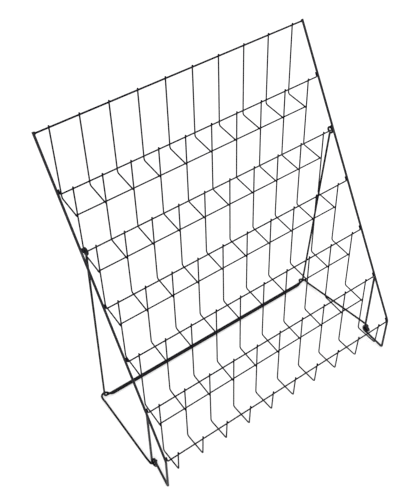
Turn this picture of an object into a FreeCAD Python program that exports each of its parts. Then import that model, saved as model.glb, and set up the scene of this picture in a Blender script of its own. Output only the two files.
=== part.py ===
import FreeCAD, Part
import math
import os

# Folding wire literature rack: a leaning panel of six tiers by ten pocket
# columns, a rear leg frame hinged on the second lip wire, and a base frame
# pinned in the coil eyes of the feet and hooked over the leg frame's bar.
# X runs across the rack, Y to the back, Z up. The origin is under the middle
# of the bounding box, on the floor. Lengths in mm, angles in degrees.

# Wire diameters
rail_wire = 4.2
leg_wire = 3.8
base_wire = 3.8
top_bar_wire = 3.0
lip_wire = 2.6
pocket_wire = 2.6
shelf_front_wire = 2.5

# Welds sink one wire a little into the other
weld_depth = 0.12
# Gap kept between wires that move past each other
running_gap = 0.3

# Panel: rails, tiers and columns
rail_spacing = 503.2
lean = 30.0
tier_count = 6
tier_pitch = 96.0
lowest_lip_height = 79.9
column_count = 10
column_pitch = 50.8
column_shift = 2.9
rail_overrun = 3.0
front_reach = 2.1
overall_depth = 293.4

# Lip wires, whose ends turn up along the rails
lip_end_rise = 8.0
lip_end_bend = 2.0

# Pocket wires
pocket_top_overrun = 1.4
pocket_drop = 137.9
last_pocket_drop = 136.3
pocket_bend = 4.0
shelf_side_slant = 2.55
shelf_end_short = 0.5
last_lip_foot_back = 5.0
last_lip_overrun = 2.0

# Foot of each side rail
rail_knee_bend = 15.0
foot_back = 0.5
toe_bend = 2.8
toe_back = 1.2
floor_wire_rise = 14.0
coil_radius = 6.0
coil_back = 50.2
coil_side_shift = 4.8
strut_top_back = 48.0
strut_top_height = 157.5
strut_outset = 0.4

# Leg frame
eye_radius = 5.2
eye_neck_bend = 4.0
eye_mouth = 40.0
eye_half_spacing = 244.6
leg_foot_half_spacing = 241.5
leg_foot_back = 226.2
leg_corner_bend = 5.0

# Base frame
link_front_half_spacing = 255.6
link_rear_half_spacing = 247.6
link_straight_front = 16.0
pin_reach = 12.1
pin_bend = 2.6
base_bar_front = 4.7
base_bar_lift = 1.3
hook_back = 6.4
hook_floor_gap = 0.2
hook_over_gap = 0.8
hook_end_half_spacing = 218.0
# The hook's curve: shares of the way across, of the way back and of the rise
hook_across_shares = [0, 0, 0.054, 0.203, 0.351, 0.446, 0.564, 0.743, 1]
hook_back_shares = [-2.19, -0.47, 0.53, 1, 0.75, 0.094, -0.5]
hook_height_shares = [0.11, 0.045, 0, 0.09, 0.59, 1, 0.75]
hook_exit_share = 0.3

# Parts of a turn and of a whole
turn = 360.0
quarter = turn / 4
half = 1 / 2
third = 1 / 3
coil_steps = 36


def vec(x, y, z):
    return FreeCAD.Vector(x, y, z)


def in_side_plane(x, back, height):
    """A point given by its distance behind the lowest lip wire."""
    return vec(x, back - depth_shift, height)


depth_shift = overall_depth * half - front_reach
slope_back = math.sin(math.radians(lean))
slope_up = math.cos(math.radians(lean))


def tier_back(tier):
    return (tier_count - tier) * tier_pitch * slope_back


def tier_height(tier):
    return lowest_lip_height + (tier_count - tier) * tier_pitch * slope_up


def column_x(column):
    return column_shift + (column - (column_count - 1) * half) * column_pitch


def unit(v):
    return v * (1 / v.Length)


def corner_arc(before, corner, after, radius):
    """Start, middle and end of the arc that rounds one corner."""
    back_way = unit(before - corner)
    on_way = unit(after - corner)
    opening = back_way.getAngle(on_way)
    reach = radius / math.tan(opening * half)
    bisector = unit(back_way + on_way)
    centre = corner + bisector * (radius / math.sin(opening * half))
    return (corner + back_way * reach, centre - bisector * radius,
            corner + on_way * reach)


def rounded_edges(points, radii):
    """Line and arc edges through points, each inner corner rounded."""
    edges = []
    start = points[0]
    for i in range(1, len(points) - 1):
        first, middle, last = corner_arc(points[i - 1], points[i], points[i + 1], radii[i - 1])
        edges.append(Part.makeLine(start, first))
        edges.append(Part.Arc(first, middle, last).toShape())
        start = last
    edges.append(Part.makeLine(start, points[-1]))
    return edges


def spline_edge(points, first_way, last_way):
    curve = Part.BSplineCurve()
    curve.interpolate(Points=points, InitialTangent=unit(first_way), FinalTangent=unit(last_way))
    return curve.toShape()


def wire_solid(edges, diameter):
    """Round wire swept along joined edges."""
    path = Part.Wire(edges)
    first = edges[0]
    way = first.tangentAt(first.FirstParameter)
    start = first.valueAt(first.FirstParameter)
    ring = Part.Wire(Part.makeCircle(diameter * half, start, way))
    return path.makePipeShell([ring], True, False)


def mirrored(points):
    return [vec(-p.x, p.y, p.z) for p in reversed(points)]


def export(shape, node):
    shape.exportStep("parts/" + node + ".step")
    print(node, len(shape.Solids), shape.isValid())


# Side rail, foot, coil eye and strut, all one wire
strut_x = rail_spacing * half - strut_outset
coil_x = strut_x - coil_side_shift
coil_centre_back = coil_back - coil_radius
rise_back = math.cos(math.radians(floor_wire_rise))
rise_up = math.sin(math.radians(floor_wire_rise))


def toe_corner():
    """Corner of the foot whose rounded wire just stands on the floor."""
    down = vec(0, toe_back, -(lowest_lip_height - rail_wire * half))
    down = unit(down)
    back = vec(0, rise_back, rise_up)
    sweep = down.getAngle(back)
    outward = unit(down - back)
    reach = toe_bend / math.cos(sweep * half)
    height = toe_bend + rail_wire * half + outward.z * reach
    return in_side_plane(rail_spacing * half, foot_back + toe_back, height)


def coil_points():
    """Points of the coil eye, from the floor wire round to the strut."""
    toe = toe_corner()
    arrival = coil_centre_back + coil_radius * rise_up - depth_shift
    run = (arrival - toe.y) / rise_back
    centre_height = toe.z + run * rise_up + coil_radius * rise_back
    sweep = turn + quarter - floor_wire_rise
    points = []
    for step in range(coil_steps + 1):
        part = step / coil_steps
        angle = math.radians(floor_wire_rise - quarter + sweep * part)
        eased = part * part * (3 - 2 * part)
        x = coil_x + coil_side_shift * eased
        y = coil_centre_back + coil_radius * math.cos(angle)
        z = centre_height + coil_radius * math.sin(angle)
        points.append(in_side_plane(x, y, z))
    return points, centre_height


def side_rail():
    top_run = tier_count * tier_pitch + rail_overrun
    top = in_side_plane(rail_spacing * half, top_run * slope_back,
                        lowest_lip_height + top_run * slope_up)
    knee = in_side_plane(rail_spacing * half, foot_back,
                         lowest_lip_height + foot_back * slope_up / slope_back)
    toe = toe_corner()
    coil, centre_height = coil_points()
    strut_top = in_side_plane(strut_x, strut_top_back, strut_top_height)
    edges = rounded_edges([top, knee, toe, coil[0]], [rail_knee_bend, toe_bend])
    edges.append(spline_edge(coil, coil[0] - toe, strut_top - coil[-1]))
    edges.append(Part.makeLine(coil[-1], strut_top))
    return wire_solid(edges, rail_wire)


# Cross wires of the panel
def top_bar():
    inner = rail_spacing * half - rail_wire * half + weld_depth
    left = in_side_plane(-inner, tier_back(0), tier_height(0))
    right = in_side_plane(inner, tier_back(0), tier_height(0))
    return wire_solid([Part.makeLine(left, right)], top_bar_wire)


def lip_cross_wire(tier):
    """Cross wire with both ends turned up along the rails."""
    end_x = rail_spacing * half - (rail_wire + lip_wire) * half + weld_depth
    back = tier_back(tier)
    height = tier_height(tier)
    up_back = back + lip_end_rise * slope_back
    up_height = height + lip_end_rise * slope_up
    points = [in_side_plane(-end_x, up_back, up_height),
              in_side_plane(-end_x, back, height),
              in_side_plane(end_x, back, height),
              in_side_plane(end_x, up_back, up_height)]
    return wire_solid(rounded_edges(points, [lip_end_bend, lip_end_bend]), lip_wire)


upright_behind_lip = (lip_wire + pocket_wire) * half - weld_depth


def shelf_height(tier):
    drop = last_pocket_drop if tier == tier_count else pocket_drop
    return tier_height(tier - 1) - drop


def upright_back(tier):
    """How far back the upright part of a row's wires stands."""
    behind = upright_behind_lip
    if tier == 1:
        behind = (top_bar_wire + pocket_wire) * half - weld_depth
    return tier_back(tier - 1) + behind


def shelf_front_cross_wire(tier):
    back = upright_back(tier + 1) + (pocket_wire + shelf_front_wire) * half - weld_depth
    height = shelf_height(tier) - (pocket_wire + shelf_front_wire) * half + weld_depth
    left = in_side_plane(column_x(0) - pocket_wire, back, height)
    right = in_side_plane(column_x(column_count - 1) + pocket_wire, back, height)
    return wire_solid([Part.makeLine(left, right)], shelf_front_wire)


# Pocket wires
def shelf_wire(tier, column):
    """One J-shaped wire: upright back, bend and level shelf."""
    x = column_x(column)
    back = upright_back(tier)
    top = in_side_plane(x, back, tier_height(tier - 1) + pocket_top_overrun)
    bend = in_side_plane(x, back, shelf_height(tier))
    end = in_side_plane(x - shelf_side_slant, tier_back(tier) - shelf_end_short,
                        shelf_height(tier))
    return wire_solid(rounded_edges([top, bend, end], [pocket_bend]), pocket_wire)


def last_shelf_wire(column):
    """The lowest row's wire, whose shelf turns up into a front lip."""
    x = column_x(column)
    tier = tier_count
    back = upright_back(tier)
    points = [in_side_plane(x, back, tier_height(tier - 1) + pocket_top_overrun),
              in_side_plane(x, back, shelf_height(tier)),
              in_side_plane(x, last_lip_foot_back, shelf_height(tier)),
              in_side_plane(x, upright_behind_lip, lowest_lip_height + last_lip_overrun)]
    return wire_solid(rounded_edges(points, [pocket_bend, pocket_bend]), pocket_wire)


def pocket_row(tier):
    if tier == tier_count:
        wires = [last_shelf_wire(column) for column in range(column_count)]
    else:
        wires = [shelf_wire(tier, column) for column in range(column_count)]
    return Part.makeCompound(wires)


# Leg frame, hinged on the second lip wire
hinge_tier = 2
leg_bar_height = leg_wire * half
eye_sag = eye_radius - (leg_wire + lip_wire) * half - running_gap


def leg_way():
    """Direction up a leg, seen from the side."""
    rise = tier_height(hinge_tier) + eye_sag - leg_bar_height
    return unit(vec(0, tier_back(hinge_tier) - leg_foot_back, rise))


def eye_edges():
    """The eye at the top of the left leg, from its open end to the leg."""
    up = leg_way()
    front = vec(0, -up.z, up.y)
    centre = in_side_plane(-eye_half_spacing, tier_back(hinge_tier),
                           tier_height(hinge_tier) + eye_sag)
    reach = eye_radius + eye_neck_bend
    neck_drop = math.sqrt(reach * reach - eye_neck_bend * eye_neck_bend)
    neck_centre = centre - up * neck_drop + front * eye_neck_bend
    join_way = unit(neck_centre - centre)
    join = centre + join_way * eye_radius
    leave = centre - up * neck_drop
    neck_way = unit(join - neck_centre) + unit(leave - neck_centre)
    neck_middle = neck_centre + unit(neck_way) * eye_neck_bend
    join_angle = math.atan2(join_way * front, -(join_way * up))
    mouth_angle = -math.radians(eye_mouth)
    sweep = math.radians(turn) + mouth_angle - join_angle

    def on_eye(angle):
        return centre - up * (eye_radius * math.cos(angle)) + front * (eye_radius * math.sin(angle))

    eye = Part.Arc(on_eye(join_angle + sweep), on_eye(join_angle + sweep * half), join)
    neck = Part.Arc(join, neck_middle, leave)
    return [eye.toShape(), neck.toShape()], leave


def mirrored_edges(edges):
    across = []
    for edge in reversed(edges):
        first = edge.valueAt(edge.FirstParameter)
        last = edge.valueAt(edge.LastParameter)
        middle = edge.valueAt((edge.FirstParameter + edge.LastParameter) * half)
        first, middle, last = mirrored([first, middle, last])[::-1]
        across.append(Part.Arc(last, middle, first).toShape())
    return across


def leg_frame():
    edges, leave = eye_edges()
    corner = in_side_plane(-leg_foot_half_spacing, leg_foot_back, leg_bar_height)
    points = [leave, corner] + mirrored([leave, corner])
    legs = rounded_edges(points, [leg_corner_bend, leg_corner_bend])
    return wire_solid(edges + legs + mirrored_edges(edges), leg_wire)


# Base frame, pinned in the coil eyes
def pin_place():
    """Centre of the pin, drawn back against the rear of the coil eye."""
    coil, centre_height = coil_points()
    slack = coil_radius - (rail_wire + base_wire) * half - running_gap
    return coil_centre_back + slack, centre_height


def hook_points():
    """Left end of the base frame's hook over the leg frame's bar."""
    floor = base_wire * half + hook_floor_gap
    over = leg_bar_height + (leg_wire + base_wire) * half + hook_over_gap
    bar_height = leg_bar_height + base_bar_lift
    inward = link_rear_half_spacing - hook_end_half_spacing
    backs = [hook_back * share for share in hook_back_shares]
    heights = [floor + (over - floor) * share for share in hook_height_shares]
    backs = backs + [-base_bar_front, -base_bar_front]
    heights = heights + [bar_height + base_bar_lift * hook_exit_share, bar_height]
    points = []
    for across, back, height in zip(hook_across_shares, backs, heights):
        x = -link_rear_half_spacing + inward * across
        points.append(in_side_plane(x, leg_foot_back + back, height))
    return points


def base_frame():
    pin_back, pin_height = pin_place()
    pin_tip = in_side_plane(-link_front_half_spacing + pin_reach, pin_back, pin_height)
    pin_corner = in_side_plane(-link_front_half_spacing, pin_back, pin_height)
    hook = hook_points()
    way = unit(hook[0] - pin_corner)
    bend = pin_corner + vec(0, way.y, way.z) * link_straight_front
    front = rounded_edges([pin_tip, pin_corner, bend, hook[0]], [pin_bend, link_straight_front])
    across = vec(1, 0, 0)
    left_hook = spline_edge(hook, hook[0] - bend, across)
    far_hook = mirrored(hook)
    bar = Part.makeLine(hook[-1], far_hook[0])
    right_hook = spline_edge(far_hook, across, mirrored([bend])[0] - far_hook[-1])
    far_points = mirrored([pin_tip, pin_corner, bend, hook[0]])
    rear = rounded_edges(far_points, [link_straight_front, pin_bend])
    return wire_solid(front + [left_hook, bar, right_hook] + rear, base_wire)


def build():
    os.makedirs("parts", exist_ok=True)
    rail = side_rail()
    export(rail, "right_side_rail")
    export(rail.mirror(vec(0, 0, 0), vec(1, 0, 0)), "left_side_rail")
    export(top_bar(), "top_bar")
    for tier in range(1, tier_count + 1):
        export(lip_cross_wire(tier), "lip_wire_" + str(tier))
        export(pocket_row(tier), "pocket_wires_row_" + str(tier))
    for tier in range(1, tier_count):
        export(shelf_front_cross_wire(tier), "shelf_front_wire_" + str(tier))
    export(leg_frame(), "leg_frame")
    export(base_frame(), "base_frame")
    print("leg hinge", in_side_plane(0, tier_back(hinge_tier), tier_height(hinge_tier)))
    print("base hinge", in_side_plane(0, *pin_place()))


build()
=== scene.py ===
# %% [markdown]
# # A folding wire literature rack
# The real rack is welded from round steel wire and coated near-black. Six
# leaning tiers of ten pockets hang between two side rails. A rear leg frame
# turns on the second lip wire, and a base frame is pinned in the coil eyes of
# the feet and hooked over the leg frame's bar.
#
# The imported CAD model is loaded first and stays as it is: it fixes every size
# and place, and its bodies carry the pieces that are made here. A CAD solid
# comes in as loose flat facets, which on wires of 2.6 mm gives hard, thin
# glints. So each wire is swept again here along the same route, with smooth
# shading, softened cut ends and the weld beads that the solids leave out.

# %% Load the frame
import bpy
import math
from mathutils import Euler, Matrix, Vector


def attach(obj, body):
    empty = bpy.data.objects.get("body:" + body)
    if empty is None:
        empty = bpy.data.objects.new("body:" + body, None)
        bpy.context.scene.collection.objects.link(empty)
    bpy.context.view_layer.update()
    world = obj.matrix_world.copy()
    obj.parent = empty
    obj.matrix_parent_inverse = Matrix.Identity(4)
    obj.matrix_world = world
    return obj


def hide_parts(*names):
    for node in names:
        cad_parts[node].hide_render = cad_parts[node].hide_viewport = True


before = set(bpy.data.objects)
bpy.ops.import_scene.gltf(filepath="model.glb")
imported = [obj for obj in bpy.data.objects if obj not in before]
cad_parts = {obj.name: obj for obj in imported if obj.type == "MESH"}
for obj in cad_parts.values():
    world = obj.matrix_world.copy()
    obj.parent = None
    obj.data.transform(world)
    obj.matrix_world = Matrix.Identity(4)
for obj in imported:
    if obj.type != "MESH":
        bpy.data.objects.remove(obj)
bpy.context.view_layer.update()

# %% [markdown]
# ## Sizes
# The numbers are the same ones that the CAD source names, in metres. The lean
# of 30 degrees, the pitch of 96 mm along the rails and the column pitch of
# 50.8 mm place all sixty pocket wires, so nothing is placed by eye.

# %% Sizes of the rack
mm = 0.001
RAIL, LEG, BASE, TOP_BAR = 4.2 * mm, 3.8 * mm, 3.8 * mm, 3.0 * mm
LIP, POCKET, SHELF_FRONT = 2.6 * mm, 2.6 * mm, 2.5 * mm
SUNK, PLAY = 0.12 * mm, 0.3 * mm
rail_spacing = 503.2 * mm
lean = math.radians(30)
tiers, columns = 6, 10
tier_pitch, column_pitch, column_shift = 96 * mm, 50.8 * mm, 2.9 * mm
lowest_lip = 79.9 * mm
pocket_drop, last_pocket_drop = 137.9 * mm, 136.3 * mm
middle_depth = (293.4 / 2 - 2.1) * mm
slope_back, slope_up = math.sin(lean), math.cos(lean)


def place(x, back, height):
    """A point from its distance behind the lowest lip wire and its height."""
    return Vector((x, back - middle_depth, height))


def tier_back(tier):
    return (tiers - tier) * tier_pitch * slope_back


def tier_height(tier):
    return lowest_lip + (tiers - tier) * tier_pitch * slope_up


def column_x(column):
    return column_shift + (column - (columns - 1) / 2) * column_pitch


def upright_back(tier):
    """The upright part of a row stands behind the wire it is welded to."""
    front = TOP_BAR if tier == 1 else LIP
    return tier_back(tier - 1) + (front + POCKET) / 2 - SUNK


def shelf_height(tier):
    return tier_height(tier - 1) - (last_pocket_drop if tier == tiers else pocket_drop)


print("lip wire heights, mm:", [round(1000 * tier_height(t)) for t in range(tiers + 1)])

# %% [markdown]
# ## Routes
# A bent wire is a few straight runs with a small arc at each bend. A route is
# therefore a list of corners with a bend radius each, and the helper below
# turns it into points: two per run, and a handful round each bend. Bends keep
# their true radius however the corner opens, as on a wire bender.

# %% Points along a bent wire
def bent(corners, radii, steps=8):
    points = [corners[0].copy()]
    for before, corner, after, radius in zip(corners, corners[1:], corners[2:], radii):
        back_way, on_way = (before - corner).normalized(), (after - corner).normalized()
        opening = back_way.angle(on_way)
        inward = (back_way + on_way).normalized()
        centre = corner + inward * (radius / math.sin(opening / 2))
        first = (corner + back_way * (radius / math.tan(opening / 2)) - centre).normalized()
        last = (corner + on_way * (radius / math.tan(opening / 2)) - centre).normalized()
        for step in range(steps + 1):
            points.append(centre + first.slerp(last, step / steps) * radius)
    points.append(corners[-1].copy())
    return points


def across(points):
    """The same route on the other side of the rack, run backwards."""
    return [Vector((-p.x, p.y, p.z)) for p in reversed(points)]


test = bent([Vector((0, 0, 0)), Vector((1, 0, 0)), Vector((1, 1, 0))], [0.2])
print("a test bend has", len(test), "points")

# %% [markdown]
# ## Sweeping a round wire
# A wire could be a curve with a bevel, but a node tree says the same thing
# once for all pieces: take the route, sweep a circle of the wire's radius
# along it, close the ends, shade it smooth. The radius share of each route
# point is read by the sweep, so the last half millimetre of a cut end can
# draw in a little, as the coating does over a sheared edge.

# %% Node tree: coated wire
def node_tree(name, inputs, kind="GeometryNodeTree"):
    tree = bpy.data.node_groups.new(name, kind)
    for title, socket, start in inputs:
        made = tree.interface.new_socket(title, in_out="INPUT", socket_type=socket)
        if start is not None:
            made.default_value = start
    return tree


def link(tree, out, into):
    tree.links.new(out, into)


def add(tree, kind, **values):
    node = tree.nodes.new(kind)
    for key, value in values.items():
        setattr(node, key, value)
    return node


def sweep_nodes(tree, given):
    """Circle swept along the given route, with closed ends."""
    ring = add(tree, "GeometryNodeCurvePrimitiveCircle")
    sweep = add(tree, "GeometryNodeCurveToMesh")
    link(tree, given.outputs["Sides"], ring.inputs["Resolution"])
    link(tree, given.outputs["Radius"], ring.inputs["Radius"])
    link(tree, given.outputs["Geometry"], sweep.inputs["Curve"])
    link(tree, ring.outputs["Curve"], sweep.inputs["Profile Curve"])
    sweep.inputs["Fill Caps"].default_value = True
    return sweep


def finish_nodes(tree, given, made):
    """Realize Instances, smooth shading and the material end every tree."""
    real = add(tree, "GeometryNodeRealizeInstances")
    smooth = add(tree, "GeometryNodeSetShadeSmooth")
    paint = add(tree, "GeometryNodeSetMaterial")
    out = add(tree, "NodeGroupOutput")
    link(tree, made, real.inputs["Geometry"])
    link(tree, real.outputs["Geometry"], smooth.inputs["Geometry"])
    link(tree, smooth.outputs["Geometry"], paint.inputs["Geometry"])
    link(tree, given.outputs["Material"], paint.inputs["Material"])
    link(tree, paint.outputs["Geometry"], out.inputs["Geometry"])


wire_inputs = [("Geometry", "NodeSocketGeometry", None), ("Radius", "NodeSocketFloat", 0.0013),
               ("Sides", "NodeSocketInt", 14), ("Material", "NodeSocketMaterial", None)]
wire_tree = node_tree("coated wire", wire_inputs)
wire_tree.interface.new_socket("Geometry", in_out="OUTPUT", socket_type="NodeSocketGeometry")
given = add(wire_tree, "NodeGroupInput")
finish_nodes(wire_tree, given, sweep_nodes(wire_tree, given).outputs["Mesh"])
print("coated wire tree:", len(wire_tree.nodes), "nodes")

# %% [markdown]
# ## A row of ten wires
# The ten pocket wires of a tier are the same bent wire at one pitch. One route
# is swept and set on the points of a line, which is how a welding jig holds
# them too. The instances are made real at the end, because the exported model
# can't hold instances.

# %% Node tree: row of wires
row_inputs = wire_inputs + [("Count", "NodeSocketInt", 10), ("Pitch", "NodeSocketFloat", 0.05),
                            ("First", "NodeSocketFloat", 0.0)]
row_tree = node_tree("row of coated wires", row_inputs)
row_tree.interface.new_socket("Geometry", in_out="OUTPUT", socket_type="NodeSocketGeometry")
given = add(row_tree, "NodeGroupInput")
sweep = sweep_nodes(row_tree, given)
line = add(row_tree, "GeometryNodeMeshLine")
start = add(row_tree, "ShaderNodeCombineXYZ")
step = add(row_tree, "ShaderNodeCombineXYZ")
stand = add(row_tree, "GeometryNodeInstanceOnPoints")
link(row_tree, given.outputs["Count"], line.inputs["Count"])
link(row_tree, given.outputs["First"], start.inputs["X"])
link(row_tree, given.outputs["Pitch"], step.inputs["X"])
link(row_tree, start.outputs["Vector"], line.inputs["Start Location"])
link(row_tree, step.outputs["Vector"], line.inputs["Offset"])
link(row_tree, line.outputs["Mesh"], stand.inputs["Points"])
link(row_tree, sweep.outputs["Mesh"], stand.inputs["Instance"])
finish_nodes(row_tree, given, stand.outputs["Instances"])
print("row tree:", len(row_tree.nodes), "nodes")

# %% [markdown]
# ## Weld beads
# Cross wires are resistance welded: both wires soften, sink together and
# leave a small smooth swelling at each crossing, which the coating rounds
# further. Each bead here is a squashed ball between the two wires. The tree
# reads a turn and a size from every point and pushes the surface about by a
# tenth of a millimetre with noise, so that no two beads are alike.

# %% Node tree: weld beads
bead_inputs = [("Geometry", "NodeSocketGeometry", None), ("Unevenness", "NodeSocketFloat", 0.00012),
               ("Material", "NodeSocketMaterial", None)]
bead_tree = node_tree("weld beads", bead_inputs)
bead_tree.interface.new_socket("Geometry", in_out="OUTPUT", socket_type="NodeSocketGeometry")
given = add(bead_tree, "NodeGroupInput")
ball = add(bead_tree, "GeometryNodeMeshUVSphere")
ball.inputs["Segments"].default_value = 10
ball.inputs["Rings"].default_value = 7
ball.inputs["Radius"].default_value = 1.0
turn = add(bead_tree, "GeometryNodeInputNamedAttribute", data_type="FLOAT_VECTOR")
turn.inputs["Name"].default_value = "turn"
size = add(bead_tree, "GeometryNodeInputNamedAttribute", data_type="FLOAT_VECTOR")
size.inputs["Name"].default_value = "size"
as_turn = add(bead_tree, "FunctionNodeEulerToRotation")
stand = add(bead_tree, "GeometryNodeInstanceOnPoints")
real = add(bead_tree, "GeometryNodeRealizeInstances")
noise = add(bead_tree, "ShaderNodeTexNoise")
noise.inputs["Scale"].default_value = 600
middle = add(bead_tree, "ShaderNodeVectorMath", operation="SUBTRACT")
middle.inputs[1].default_value = (0.5, 0.5, 0.5)
push = add(bead_tree, "ShaderNodeVectorMath", operation="SCALE")
move = add(bead_tree, "GeometryNodeSetPosition")
link(bead_tree, given.outputs["Geometry"], stand.inputs["Points"])
link(bead_tree, ball.outputs["Mesh"], stand.inputs["Instance"])
link(bead_tree, turn.outputs["Attribute"], as_turn.inputs["Euler"])
link(bead_tree, as_turn.outputs["Rotation"], stand.inputs["Rotation"])
link(bead_tree, size.outputs["Attribute"], stand.inputs["Scale"])
link(bead_tree, stand.outputs["Instances"], real.inputs["Geometry"])
link(bead_tree, real.outputs["Geometry"], move.inputs["Geometry"])
link(bead_tree, noise.outputs["Color"], middle.inputs[0])
link(bead_tree, middle.outputs["Vector"], push.inputs[0])
link(bead_tree, given.outputs["Unevenness"], push.inputs["Scale"])
link(bead_tree, push.outputs["Vector"], move.inputs["Offset"])
finish_nodes(bead_tree, given, move.outputs["Geometry"])
print("bead tree:", len(bead_tree.nodes), "nodes")

# %% [markdown]
# ## The coating
# The rack is powder coated: a near-black skin with a faint violet cast, half
# gloss, with the shallow ripple called orange peel. Three effects are shared
# by all the materials, each a node group that gives out only values: the
# ripple, the uneven tone, and the rubbed places where wire meets the floor or
# another wire. Flat black would hide the round form, and a mirror black would
# break into thin lines, so the gloss stays in between.

# %% Shader group: orange peel
def shader_group(name, inputs, outputs):
    group = node_tree(name, inputs, "ShaderNodeTree")
    for title, socket in outputs:
        group.interface.new_socket(title, in_out="OUTPUT", socket_type=socket)
    return group, add(group, "NodeGroupInput"), add(group, "NodeGroupOutput")


def maths(tree, operation, first, second=None, third=None):
    node = add(tree, "ShaderNodeMath", operation=operation)
    for socket, value in zip(node.inputs, (first, second, third)):
        if value is None:
            continue
        if isinstance(value, (int, float)):
            socket.default_value = value
        else:
            link(tree, value, socket)
    return node.outputs[0]


def noise_at(tree, where, scale, detail=2.0, roughness=0.5):
    node = add(tree, "ShaderNodeTexNoise")
    node.inputs["Scale"].default_value = scale
    node.inputs["Detail"].default_value = detail
    node.inputs["Roughness"].default_value = roughness
    link(tree, where, node.inputs["Vector"])
    return node


peel, given, out = shader_group(
    "orange peel", [("Place", "NodeSocketVector", None), ("Coarse Share", "NodeSocketFloat", 0.7)],
    [("Height", "NodeSocketFloat")])
coarse = noise_at(peel, given.outputs["Place"], 520, 1.5)
fine = noise_at(peel, given.outputs["Place"], 2100, 3.0)
kept = maths(peel, "MULTIPLY", coarse.outputs["Fac"], given.outputs["Coarse Share"])
rest = maths(peel, "SUBTRACT", 1.0, given.outputs["Coarse Share"])
link(peel, maths(peel, "MULTIPLY_ADD", fine.outputs["Fac"], rest, kept), out.inputs["Height"])
print("orange peel:", len(peel.nodes), "nodes")

# %% [markdown]
# The tone group mixes the deep colour with a slightly greyer one over several
# centimetres, where the powder lies thicker or thinner, and moves the
# roughness with it. A second, finer noise adds faint dust-like specks.

# %% Shader group: coating tone
tone, given, out = shader_group(
    "coating tone", [("Place", "NodeSocketVector", None), ("Deep", "NodeSocketColor", None),
                     ("Thin", "NodeSocketColor", None), ("Rough", "NodeSocketFloat", 0.35),
                     ("Rough Spread", "NodeSocketFloat", 0.08)],
    [("Color", "NodeSocketColor"), ("Roughness", "NodeSocketFloat")])
broad = noise_at(tone, given.outputs["Place"], 28, 3.0)
speck = noise_at(tone, given.outputs["Place"], 1500, 2.0, 0.7)
soft = add(tone, "ShaderNodeMapRange")
for socket, value in zip(("From Min", "From Max", "To Min", "To Max"), (0.35, 0.7, 0.0, 1.0)):
    soft.inputs[socket].default_value = value
link(tone, broad.outputs["Fac"], soft.inputs["Value"])
specks = maths(tone, "MULTIPLY", maths(tone, "GREATER_THAN", speck.outputs["Fac"], 0.72), 0.35)
amount = maths(tone, "MAXIMUM", soft.outputs["Result"], specks)
blend = add(tone, "ShaderNodeMix", data_type="RGBA")
link(tone, amount, blend.inputs[0])
link(tone, given.outputs["Deep"], blend.inputs[6])
link(tone, given.outputs["Thin"], blend.inputs[7])
link(tone, blend.outputs[2], out.inputs["Color"])
spread = maths(tone, "MULTIPLY", amount, given.outputs["Rough Spread"])
link(tone, maths(tone, "ADD", given.outputs["Rough"], spread), out.inputs["Roughness"])
print("coating tone:", len(tone.nodes), "nodes")

# %% [markdown]
# The rub group finds the places that get handled: a band up from the floor,
# and a ball round the hinge line, both broken up by noise. It gives a mask,
# and each material decides how strongly the rubbed coating greys and dulls.

# %% Shader group: rubbed places
rub, given, out = shader_group(
    "rubbed places", [("Place", "NodeSocketVector", None), ("Floor Band", "NodeSocketFloat", 0.006),
                      ("Hinge", "NodeSocketVector", (0.0, 0.0, 0.0)), ("Reach", "NodeSocketFloat", 0.01)],
    [("Mask", "NodeSocketFloat")])
apart = add(rub, "ShaderNodeSeparateXYZ")
link(rub, given.outputs["Place"], apart.inputs["Vector"])
low = maths(rub, "SUBTRACT", 1.0, maths(rub, "DIVIDE", apart.outputs["Z"], given.outputs["Floor Band"]))
hinge = add(rub, "ShaderNodeSeparateXYZ")
link(rub, given.outputs["Hinge"], hinge.inputs["Vector"])
off_back = maths(rub, "SUBTRACT", apart.outputs["Y"], hinge.outputs["Y"])
off_up = maths(rub, "SUBTRACT", apart.outputs["Z"], hinge.outputs["Z"])
away = maths(rub, "SQRT", maths(rub, "ADD", maths(rub, "MULTIPLY", off_back, off_back),
                                maths(rub, "MULTIPLY", off_up, off_up)))
near = maths(rub, "SUBTRACT", 1.0, maths(rub, "DIVIDE", away, given.outputs["Reach"]))
both = maths(rub, "MAXIMUM", maths(rub, "MAXIMUM", low, near), 0.0)
broken = noise_at(rub, given.outputs["Place"], 700, 4.0, 0.65)
patchy = maths(rub, "MULTIPLY", both, maths(rub, "MULTIPLY_ADD", broken.outputs["Fac"], 3.0, -0.9))
link(rub, maths(rub, "MINIMUM", maths(rub, "MAXIMUM", patchy, 0.0), 1.0), out.inputs["Mask"])
print("rubbed places:", len(rub.nodes), "nodes")

# %% [markdown]
# ## Four coatings
# The rails are the thickest wire and take the most powder, so they shine most
# and show a soft band of light. The thin pocket and cross wires are duller and
# deeper, and so are the two frames. All four materials use the groups above
# with their own values.

# %% Materials
hinge_line = place(0, tier_back(2), tier_height(2))
ripple_depth = 0.08 * mm


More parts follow.
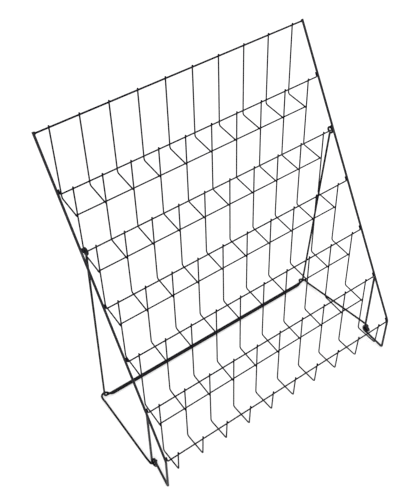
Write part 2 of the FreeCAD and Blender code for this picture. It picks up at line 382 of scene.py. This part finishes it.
def coating(name, deep, thin, rough, ripple, worn, hinge, gloss, reach):
    material = bpy.data.materials.new(name)
    material.use_nodes = True
    tree = material.node_tree
    shader = tree.nodes["Principled BSDF"]
    where = add(tree, "ShaderNodeTexCoord").outputs["Object"]
    groups = {}
    for group in (peel, tone, rub):
        groups[group.name] = add(tree, "ShaderNodeGroup", node_tree=group)
        link(tree, where, groups[group.name].inputs["Place"])
    colour, marks = groups["coating tone"], groups["rubbed places"]
    colour.inputs["Deep"].default_value = (*deep, 1)
    colour.inputs["Thin"].default_value = (*thin, 1)
    colour.inputs["Rough"].default_value = rough
    marks.inputs["Hinge"].default_value = hinge
    marks.inputs["Reach"].default_value = reach
    blend = add(tree, "ShaderNodeMix", data_type="RGBA")
    link(tree, marks.outputs["Mask"], blend.inputs[0])
    link(tree, colour.outputs["Color"], blend.inputs[6])
    blend.inputs[7].default_value = (*worn, 1)
    link(tree, blend.outputs[2], shader.inputs["Base Color"])
    dull = maths(tree, "MULTIPLY_ADD", marks.outputs["Mask"], 0.2, colour.outputs["Roughness"])
    link(tree, dull, shader.inputs["Roughness"])
    bump = add(tree, "ShaderNodeBump")
    bump.inputs["Strength"].default_value = ripple
    bump.inputs["Distance"].default_value = ripple_depth
    link(tree, groups["orange peel"].outputs["Height"], bump.inputs["Height"])
    link(tree, bump.outputs["Normal"], shader.inputs["Normal"])
    shader.inputs["Specular IOR Level"].default_value = gloss
    return material


rail_coat = coating("rail coating", (0.006, 0.0055, 0.009), (0.013, 0.012, 0.018), 0.34, 0.5,
                    (0.10, 0.10, 0.11), hinge_line, 0.18, 10 * mm)
frame_coat = coating("frame coating", (0.004, 0.004, 0.005), (0.009, 0.0085, 0.011), 0.42, 0.5,
                     (0.05, 0.05, 0.055), hinge_line, 0.05, 10 * mm)
pocket_coat = coating("pocket wire coating", (0.003, 0.0026, 0.006), (0.008, 0.006, 0.013), 0.46, 0.6,
                      (0.04, 0.04, 0.045), hinge_line, 0.04, 8 * mm)
cross_coat = coating("cross wire coating", (0.003, 0.0026, 0.006), (0.008, 0.006, 0.013), 0.46, 0.6,
                     (0.04, 0.04, 0.045), hinge_line, 0.04, 8 * mm)
print("materials:", [coat.name for coat in (rail_coat, frame_coat, pocket_coat, cross_coat)])

# %% [markdown]
# ## From route to piece
# A route becomes a poly curve whose last points draw in at the cut ends. The
# node tree sweeps it, and the result is kept as a plain mesh, so the finished
# piece has no live modifier. Beads are welded into the same mesh as their
# wire, because on the real rack they are one piece of metal.

# %% Helpers that make a piece
END_STEPS = ((0.0, 0.80), (0.10, 0.92), (0.25, 0.98), (0.45, 1.0))


def with_cut_ends(points, radius):
    """Adds the few points that let both ends draw in."""
    def end(tip, inner):
        way = (inner - tip).normalized()
        return [(tip + way * (share * radius), size) for share, size in END_STEPS]
    front = end(points[0], points[1])
    back = end(points[-1], points[-2])
    return front + [(p, 1.0) for p in points[1:-1]] + back[::-1]


def route_object(name, routes, radius):
    data = bpy.data.curves.new(name, "CURVE")
    data.dimensions = "3D"
    for points in routes:
        shaped = with_cut_ends(points, radius)
        spline = data.splines.new("POLY")
        spline.points.add(len(shaped) - 1)
        for spot, (p, share) in zip(spline.points, shaped):
            spot.co = (*p, 1)
            spot.radius = share
    made = bpy.data.objects.new(name, data)
    bpy.context.scene.collection.objects.link(made)
    return made


def set_inputs(modifier, values):
    for item in modifier.node_group.interface.items_tree:
        if item.in_out == "INPUT" and item.name in values:
            modifier[item.identifier] = values[item.name]


def run_tree(source, tree, values, name):
    """Runs a node tree on an object and keeps the result as a plain mesh."""
    modifier = source.modifiers.new("shape", "NODES")
    modifier.node_group = tree
    set_inputs(modifier, values)
    shaped = source.evaluated_get(bpy.context.evaluated_depsgraph_get())
    mesh = bpy.data.meshes.new_from_object(shaped)
    bpy.data.objects.remove(source)
    mesh.name = name
    made = bpy.data.objects.new(name, mesh)
    bpy.context.scene.collection.objects.link(made)
    return made


def beads(spots, material):
    """Bead mesh from (place, turn, size) spots."""
    mesh = bpy.data.meshes.new("spots")
    mesh.from_pydata([p for p, turn, size in spots], [], [])
    for title, part in (("turn", 1), ("size", 2)):
        kept = mesh.attributes.new(title, "FLOAT_VECTOR", "POINT")
        kept.data.foreach_set("vector", [v for spot in spots for v in spot[part]])
    source = bpy.data.objects.new("spots", mesh)
    bpy.context.scene.collection.objects.link(source)
    return run_tree(source, bead_tree, {"Material": material}, "beads")


def weld_together(piece, extra):
    with bpy.context.temp_override(active_object=piece, object=piece,
                                   selected_objects=[piece, extra],
                                   selected_editable_objects=[piece, extra]):
        bpy.ops.object.join()
    return piece


def settle(piece, body, node):
    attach(piece, body)
    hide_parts(node)
    print(piece.name, len(piece.data.polygons), "faces on", body)


print("helpers ready")

# %% [markdown]
# ## Side rails
# Each rail is one long wire: it leans back, turns upright at the knee, makes
# a tight bend at the toe, runs back just off the floor, winds once and a
# quarter round the coil eye and stands up again as a strut, welded behind the
# rail. The coil is the only part that is no plain bend, so its points come
# from a circle whose side step eases in and out.

# %% Route of a side rail
rail_x = rail_spacing / 2
strut_x = rail_x - 0.4 * mm
coil_radius, coil_back, coil_shift = 6 * mm, 50.2 * mm, 4.8 * mm
coil_centre = coil_back - coil_radius
rise = math.radians(14)
foot_back, toe_back, toe_bend = 0.5 * mm, 1.2 * mm, 2.8 * mm
knee_bend, rail_past_bar = 15 * mm, 3 * mm


def toe_corner():
    down = Vector((0, toe_back, -(lowest_lip - RAIL / 2))).normalized()
    back = Vector((0, math.cos(rise), math.sin(rise)))
    outward = (down - back).normalized()
    reach = toe_bend / math.cos(down.angle(back) / 2)
    return place(rail_x, foot_back + toe_back, toe_bend + RAIL / 2 + outward.z * reach)


def coil_points(steps=60):
    toe = toe_corner()
    arrival = coil_centre + coil_radius * math.sin(rise) - middle_depth
    run = (arrival - toe.y) / math.cos(rise)
    height = toe.z + run * math.sin(rise) + coil_radius * math.cos(rise)
    points = []
    for step in range(steps + 1):
        share = step / steps
        angle = rise - math.pi / 2 + (2.5 * math.pi - rise) * share
        x = strut_x - coil_shift + coil_shift * share * share * (3 - 2 * share)
        points.append(place(x, coil_centre + coil_radius * math.cos(angle),
                            height + coil_radius * math.sin(angle)))
    return points, height


rail_run = tiers * tier_pitch + rail_past_bar
rail_top = place(rail_x, rail_run * slope_back, lowest_lip + rail_run * slope_up)
rail_knee = place(rail_x, foot_back, lowest_lip + foot_back * slope_up / slope_back)
coil, coil_height = coil_points()
strut_top = place(strut_x, 48 * mm, 157.5 * mm)
rail_route = bent([rail_top, rail_knee, toe_corner(), coil[0]], [knee_bend, toe_bend], 12)
rail_route = rail_route[:-1] + coil + [strut_top]
print("rail route:", len(rail_route), "points, coil centre", round(1000 * coil_height, 1), "mm up")

# %% [markdown]
# The weld where the strut meets the rail is a longer bead, drawn out along
# the rail.

# %% Side rails
strut_weld_back, strut_weld_under, strut_bead_back = 45.6 * mm, 2.2 * mm, 0.4 * mm
strut_bead = (1.7 * mm, 1.6 * mm, 4.2 * mm)


def rail_beads(side):
    height = lowest_lip + strut_weld_back * slope_up / slope_back - strut_weld_under
    spot = place(side * (rail_x + strut_x) / 2, strut_weld_back + strut_bead_back, height)
    return [(spot, Euler((-lean, 0, 0)), strut_bead)]


for side, node in ((1, "right_side_rail"), (-1, "left_side_rail")):
    route = rail_route if side == 1 else across(rail_route)
    source = route_object(node, [route], RAIL / 2)
    piece = run_tree(source, wire_tree, {"Radius": RAIL / 2, "Sides": 20, "Material": rail_coat},
                     node + "_wire")
    weld_together(piece, beads(rail_beads(side), rail_coat))
    settle(piece, "panel", node)

# %% [markdown]
# ## Cross wires
# The top bar is cut square and welded between the rail tops. The six lip
# wires have both ends turned up, so that a few millimetres lie along the rail
# and give the weld some length. The five shelf front wires run under the
# shelf wires, against the backs of the next tier's uprights.

# %% Top bar
bar_x = rail_x - RAIL / 2 + SUNK
bar_ends = [place(side * bar_x, tier_back(0), tier_height(0)) for side in (-1, 1)]
bar_bead, bar_bead_in, bar_bead_up = (1.5 * mm, 2.0 * mm, 2.4 * mm), 0.6 * mm, 0.3 * mm
source = route_object("top_bar", [bar_ends], TOP_BAR / 2)
piece = run_tree(source, wire_tree, {"Radius": TOP_BAR / 2, "Sides": 16, "Material": cross_coat},
                 "top_bar_wire")
bar_spots = []
for side in (-1, 1):
    spot = place(side * (bar_x - bar_bead_in), tier_back(0), tier_height(0) + bar_bead_up)
    bar_spots.append((spot, Euler((-lean, 0, 0)), bar_bead))
weld_together(piece, beads(bar_spots, cross_coat))
settle(piece, "panel", "top_bar")

# %% Lip wires
lip_end_rise, lip_bend = 8 * mm, 2 * mm
lip_bead, lip_bead_rise = (1.1 * mm, 1.3 * mm, 3.0 * mm), 5 * mm


def lip_route(tier):
    x = rail_x - (RAIL + LIP) / 2 + SUNK
    back, height = tier_back(tier), tier_height(tier)
    up_back, up_height = back + lip_end_rise * slope_back, height + lip_end_rise * slope_up
    corners = [place(-x, up_back, up_height), place(-x, back, height),
               place(x, back, height), place(x, up_back, up_height)]
    return bent(corners, [lip_bend, lip_bend])


def lip_beads(tier):
    spots = []
    for side in (-1, 1):
        spot = place(side * (rail_x - RAIL / 2), tier_back(tier) + lip_bead_rise * slope_back,
                     tier_height(tier) + lip_bead_rise * slope_up)
        spots.append((spot, Euler((-lean, 0, 0)), lip_bead))
    return spots


for tier in range(1, tiers + 1):
    source = route_object("lip", [lip_route(tier)], LIP / 2)
    piece = run_tree(source, wire_tree, {"Radius": LIP / 2, "Sides": 14, "Material": cross_coat},
                     "lip_wire_%d_coated" % tier)
    weld_together(piece, beads(lip_beads(tier), cross_coat))
    settle(piece, "panel", "lip_wire_%d" % tier)

# %% Shelf front wires
upright_bead, shelf_bead = (1.5 * mm, 0.9 * mm, 1.7 * mm), (1.4 * mm, 1.6 * mm, 0.9 * mm)
shelf_bead_aside, shelf_bead_back = 2.3 * mm, 2.4 * mm


def shelf_front_spots(tier):
    """Beads where the wire meets each upright and each shelf wire."""
    back = upright_back(tier + 1)
    under = shelf_height(tier) - (POCKET + SHELF_FRONT) / 2
    spots = []
    for column in range(columns):
        x = column_x(column)
        spots.append((place(x, back + POCKET / 2, under), Euler((0, 0, 0)), upright_bead))
        on_shelf = place(x - shelf_bead_aside, back + shelf_bead_back, under + SHELF_FRONT / 2)
        spots.append((on_shelf, Euler((0, 0, 0)), shelf_bead))
    return spots


for tier in range(1, tiers):
    back = upright_back(tier + 1) + (POCKET + SHELF_FRONT) / 2 - SUNK
    height = shelf_height(tier) - (POCKET + SHELF_FRONT) / 2 + SUNK
    ends = [place(column_x(0) - POCKET, back, height),
            place(column_x(columns - 1) + POCKET, back, height)]
    source = route_object("shelf_front", [ends], SHELF_FRONT / 2)
    values = {"Radius": SHELF_FRONT / 2, "Sides": 14, "Material": cross_coat}
    piece = run_tree(source, wire_tree, values, "shelf_front_wire_%d_coated" % tier)
    weld_together(piece, beads(shelf_front_spots(tier), cross_coat))
    settle(piece, "panel", "shelf_front_wire_%d" % tier)

# %% [markdown]
# ## Pocket wires
# Each tier has ten J-shaped wires: an upright back, a small bend and a level
# shelf that slants a wire's width to one side, so that its end lies beside
# the next tier's upright and can be welded to it. The lowest tier has no next
# tier, so its shelf turns up again into a front lip.

# %% Pocket rows
pocket_overrun, pocket_bend, shelf_end_short = 1.4 * mm, 4 * mm, 0.5 * mm
shelf_slant = 2.55 * mm
last_foot_back, last_lip_overrun = 5 * mm, 2 * mm
lip_wire_bead, side_bead = (1.7 * mm, 0.9 * mm, 1.7 * mm), (0.9 * mm, 1.7 * mm, 1.6 * mm)
lowest_bead = (1.7 * mm, 0.9 * mm, 1.6 * mm)


def pocket_route(tier):
    """The wire of a column at x = 0."""
    back, floor = upright_back(tier), shelf_height(tier)
    top = place(0, back, tier_height(tier - 1) + pocket_overrun)
    bend = place(0, back, floor)
    if tier < tiers:
        end = place(-shelf_slant, tier_back(tier) - shelf_end_short, floor)
        return bent([top, bend, end], [pocket_bend], 10)
    foot = place(0, last_foot_back, floor)
    tip = place(0, (LIP + POCKET) / 2 - SUNK, lowest_lip + last_lip_overrun)
    return bent([top, bend, foot, tip], [pocket_bend, pocket_bend], 10)


def pocket_spots(tier):
    spots = []
    for column in range(columns):
        x = column_x(column)
        front = TOP_BAR if tier == 1 else LIP
        spots.append((place(x, tier_back(tier - 1) + front / 2, tier_height(tier - 1)),
                      Euler((0, 0, 0)), lip_wire_bead))
        if tier < tiers:
            spots.append((place(x - POCKET / 2, upright_back(tier + 1), shelf_height(tier)),
                          Euler((0, 0, 0)), side_bead))
        else:
            spots.append((place(x, LIP / 2, lowest_lip), Euler((0, 0, 0)), lowest_bead))
    return spots


for tier in range(1, tiers + 1):
    source = route_object("pockets", [pocket_route(tier)], POCKET / 2)
    values = {"Radius": POCKET / 2, "Sides": 14, "Material": pocket_coat, "Count": columns,
              "Pitch": column_pitch, "First": column_x(0)}
    piece = run_tree(source, row_tree, values, "pocket_row_%d_coated" % tier)
    weld_together(piece, beads(pocket_spots(tier), pocket_coat))
    settle(piece, "panel", "pocket_wires_row_%d" % tier)

# %% [markdown]
# ## Leg frame
# One wire again: an eye closed round the second lip wire, a leg, the floor
# bar, the other leg and its eye. The eye is a circle in the leg's own plane,
# reached by a short neck bend, so that it stays centred on the leg.

# %% Leg frame
leg_x, eye_x = 241.5 * mm, 244.6 * mm
leg_foot_back, leg_bar, leg_corner = 226.2 * mm, LEG / 2, 5 * mm
eye_radius, neck_radius, eye_mouth = 5.2 * mm, 4 * mm, 40
eye_sag = eye_radius - (LEG + LIP) / 2 - PLAY


def eye_route():
    """From the eye's open end to where the neck leaves it."""
    rise_up = tier_height(2) + eye_sag - leg_bar
    up = Vector((0, tier_back(2) - leg_foot_back, rise_up)).normalized()
    front = Vector((0, -up.z, up.y))
    centre = place(-eye_x, tier_back(2), tier_height(2) + eye_sag)
    drop = math.sqrt((eye_radius + neck_radius) ** 2 - neck_radius ** 2)
    neck = centre - up * drop + front * neck_radius
    join = (neck - centre).normalized()
    first = math.radians(360 - eye_mouth)
    last = math.atan2(join.dot(front), -join.dot(up))
    points = []
    for step in range(41):
        angle = first + (last - first) * step / 40
        points.append(centre - up * (eye_radius * math.cos(angle))
                      + front * (eye_radius * math.sin(angle)))
    for step in range(1, 9):
        points.append(neck + (-join).slerp(-front, step / 8) * neck_radius)
    return points


eye = eye_route()
foot = place(-leg_x, leg_foot_back, leg_bar)
legs = bent([eye[-1], foot] + across([eye[-1], foot]), [leg_corner, leg_corner], 12)
leg_route = eye[:-1] + legs + across(eye[:-1])
source = route_object("leg_frame", [leg_route], LEG / 2)
piece = run_tree(source, wire_tree, {"Radius": LEG / 2, "Sides": 20, "Material": frame_coat},
                 "leg_frame_wire")
settle(piece, "leg_frame", "leg_frame")

# %% [markdown]
# ## Base frame
# The base frame lies on the floor between the feet and the leg frame's bar.
# At the front each link ends in a pin, turned in through the coil eye. At the
# rear the wire passes outside and behind the leg, climbs over the bar and
# comes down in front of it, which makes a hook that lifts off for folding.
# The climb is a smooth free curve, so it is drawn through a few given points.

# %% Base frame
link_front, link_rear = 255.6 * mm, 247.6 * mm
hook_end, hook_back = 218 * mm, 6.4 * mm
hook_floor, bar_lift = BASE / 2 + 0.2 * mm, 1.3 * mm
pin_reach, pin_bend, link_straight = 12.1 * mm, 2.6 * mm, 16 * mm
hook_over = leg_bar + (LEG + BASE) / 2 + 0.8 * mm
bar_front, bar_height = 4.7 * mm, leg_bar + bar_lift


def hook_spots():
    shares = [(0, -2.19, 0.11), (0, -0.47, 0.045), (0.054, 0.53, 0), (0.203, 1, 0.09),
              (0.351, 0.75, 0.59), (0.446, 0.094, 1), (0.564, -0.5, 0.75)]
    spots = [place(-link_rear + (link_rear - hook_end) * a, leg_foot_back + hook_back * b,
                   hook_floor + (hook_over - hook_floor) * h) for a, b, h in shares]
    for a, lift in ((0.743, 0.3), (1, 0)):
        spots.append(place(-link_rear + (link_rear - hook_end) * a, leg_foot_back - bar_front,
                           bar_height + bar_lift * lift))
    return spots


def smooth_through(spots, steps=6):
    """A centripetal curve through the spots, which keeps its bends even."""
    padded = [spots[0] * 2 - spots[1]] + spots + [spots[-1] * 2 - spots[-2]]
    points = []
    for p0, p1, p2, p3 in zip(padded, padded[1:], padded[2:], padded[3:]):
        t1 = (p1 - p0).length ** 0.5
        t2 = t1 + (p2 - p1).length ** 0.5
        t3 = t2 + (p3 - p2).length ** 0.5
        for step in range(steps):
            t = t1 + (t2 - t1) * step / steps
            a1 = p0.lerp(p1, t / t1)
            a2 = p1.lerp(p2, (t - t1) / (t2 - t1))
            a3 = p2.lerp(p3, (t - t2) / (t3 - t2))
            b1 = a1.lerp(a2, t / t2)
            b2 = a2.lerp(a3, (t - t1) / (t3 - t1))
            points.append(b1.lerp(b2, (t - t1) / (t2 - t1)))
    return points + [spots[-1]]


pin_back = coil_centre + coil_radius - (RAIL + BASE) / 2 - PLAY
pin_tip = place(-link_front + pin_reach, pin_back, coil_height)
pin_corner = place(-link_front, pin_back, coil_height)
hook = hook_spots()
slope = hook[0] - pin_corner
link_bend = pin_corner + Vector((0, slope.y, slope.z)).normalized() * link_straight
front = bent([pin_tip, pin_corner, link_bend, hook[0]], [pin_bend, link_straight], 8)
half_route = front[:-1] + smooth_through(hook)
base_route = half_route + across(half_route)
source = route_object("base_frame", [base_route], BASE / 2)
piece = run_tree(source, wire_tree, {"Radius": BASE / 2, "Sides": 20, "Material": frame_coat},
                 "base_frame_wire")
settle(piece, "base_frame", "base_frame")

# %% [markdown]
# ## Floor and light
# The rack stands on a plain white floor under soft studio light. Seen by the
# camera and in reflections, floor and surroundings are a plain white, while
# the light that falls on the wires stays at a plain level. One large panel
# high in front gives the thick rails their soft band of light, and the floor
# keeps the faint shadow. Further out the floor brightens into the white
# behind it, so that no horizon shows.

# %% Floor
floor_mesh = bpy.data.meshes.new("floor")
reach = 6.0
floor_mesh.from_pydata([(-reach, -reach, 0), (reach, -reach, 0), (reach, reach, 0), (-reach, reach, 0)],
                       [], [(0, 1, 2, 3)])
floor = bpy.data.objects.new("floor", floor_mesh)
bpy.context.scene.collection.objects.link(floor)
paper = bpy.data.materials.new("white paper")
paper.use_nodes = True
tree = paper.node_tree
sheet = tree.nodes["Principled BSDF"]
sheet.inputs["Base Color"].default_value = (0.93, 0.93, 0.93, 1)
sheet.inputs["Roughness"].default_value = 0.9
sheet.inputs["Specular IOR Level"].default_value = 0.1
path = add(tree, "ShaderNodeLightPath")
seen = maths(tree, "MAXIMUM", path.outputs["Is Camera Ray"], path.outputs["Is Glossy Ray"])
seen = maths(tree, "MAXIMUM", seen, path.outputs["Is Transmission Ray"])
sheet.inputs["Emission Color"].default_value = (1, 1, 1, 1)
away = add(tree, "ShaderNodeVectorMath", operation="LENGTH")
link(tree, add(tree, "ShaderNodeNewGeometry").outputs["Position"], away.inputs[0])
farther = maths(tree, "MULTIPLY_ADD", away.outputs["Value"], 0.35, -0.02)
glow = maths(tree, "MAXIMUM", maths(tree, "MINIMUM", farther, 1.0), 0.4)
link(tree, maths(tree, "MULTIPLY", seen, glow), sheet.inputs["Emission Strength"])
floor_mesh.materials.append(paper)
print("floor", 2 * reach, "m wide")

# %% World and lamps
world = bpy.data.worlds.new("studio")
bpy.context.scene.world = world
world.use_nodes = True
tree = world.node_tree
sky = tree.nodes["Background"]
path = add(tree, "ShaderNodeLightPath")
seen = maths(tree, "MAXIMUM", path.outputs["Is Camera Ray"], path.outputs["Is Glossy Ray"])
seen = maths(tree, "MAXIMUM", seen, path.outputs["Is Transmission Ray"])
level = add(tree, "ShaderNodeMix", data_type="FLOAT")
link(tree, seen, level.inputs[0])
level.inputs[2].default_value = 0.55
level.inputs[3].default_value = 1.0
sky.inputs["Color"].default_value = (1, 1, 1, 1)
link(tree, level.outputs[0], sky.inputs["Strength"])


def soft_panel(name, at, aim, width, height, power):
    lamp = bpy.data.lights.new(name, "AREA")
    lamp.shape = "RECTANGLE"
    lamp.size, lamp.size_y, lamp.energy = width, height, power
    made = bpy.data.objects.new(name, lamp)
    made.location = at
    made.rotation_euler = (Vector(at) - Vector(aim)).to_track_quat("Z", "Y").to_euler()
    bpy.context.scene.collection.objects.link(made)
    return made


soft_panel("front panel", (-1.2, -1.9, 2.4), (0, 0, 0.25), 1.6, 1.2, 34)
soft_panel("side panel", (2.2, 0.4, 1.8), (0, 0, 0.25), 1.2, 1.2, 12)
print("lights:", len(bpy.data.lights))

# %% [markdown]
# ## Camera
# The camera's place was solved from the wire crossings: it stands in front,
# to the left and above, and looks 45 degrees down. Its three directions are
# given as unit vectors, so that no tracking helper can turn it.

# %% Camera
camera_data = bpy.data.cameras.new("camera")
camera_data.sensor_width = 36
camera_data.lens = 61.21
camera = bpy.data.objects.new("camera", camera_data)
to_right = Vector((0.808653, -0.587839, -0.022906))
to_top = Vector((0.429574, 0.563439, 0.705693))
to_viewer = Vector((-0.401928, -0.580501, 0.708148))
facing = Matrix((to_right, to_top, to_viewer)).transposed().to_4x4()
camera.matrix_world = Matrix.Translation((-0.61589, -0.80268, 1.31822)) @ facing
bpy.context.scene.collection.objects.link(camera)
bpy.context.scene.camera = camera
bpy.context.scene.view_settings.view_transform = "Standard"
